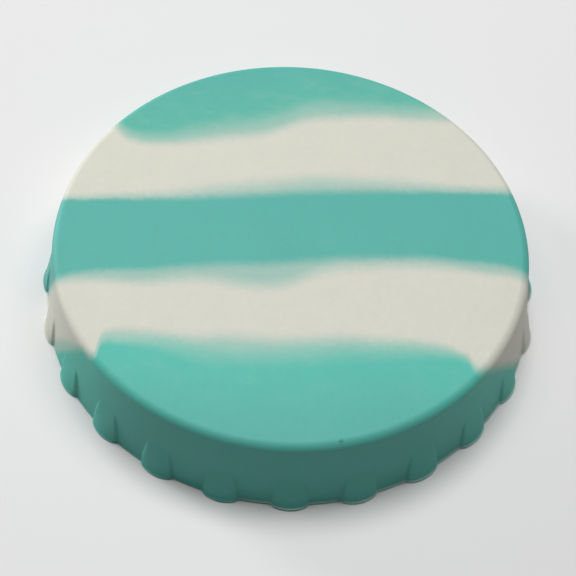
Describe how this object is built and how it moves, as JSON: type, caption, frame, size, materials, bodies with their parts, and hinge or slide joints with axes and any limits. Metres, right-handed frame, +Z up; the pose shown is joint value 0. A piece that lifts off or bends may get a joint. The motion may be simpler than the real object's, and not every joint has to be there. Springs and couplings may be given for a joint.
{
  "type": "silicone can lid",
  "caption": "Press-on drinks-can lid in soft silicone, shaped like a crown cap, with a flat banded top, a flared fluted skirt and a can seat inside.",
  "frame": {"origin": "centre of the foot, on the surface that the lid stands on", "axes": "+Z up along the lid's axis; the colour bands run along X, and -Y is the side that faces the viewer"},
  "size_m": [0.066, 0.066, 0.011],
  "materials": {
    "silicone": "matt moulded silicone, teal with soft off-white bands"
  },
  "bodies": {
    "root": {"lid": "silicone"}
  },
  "joints": []
}
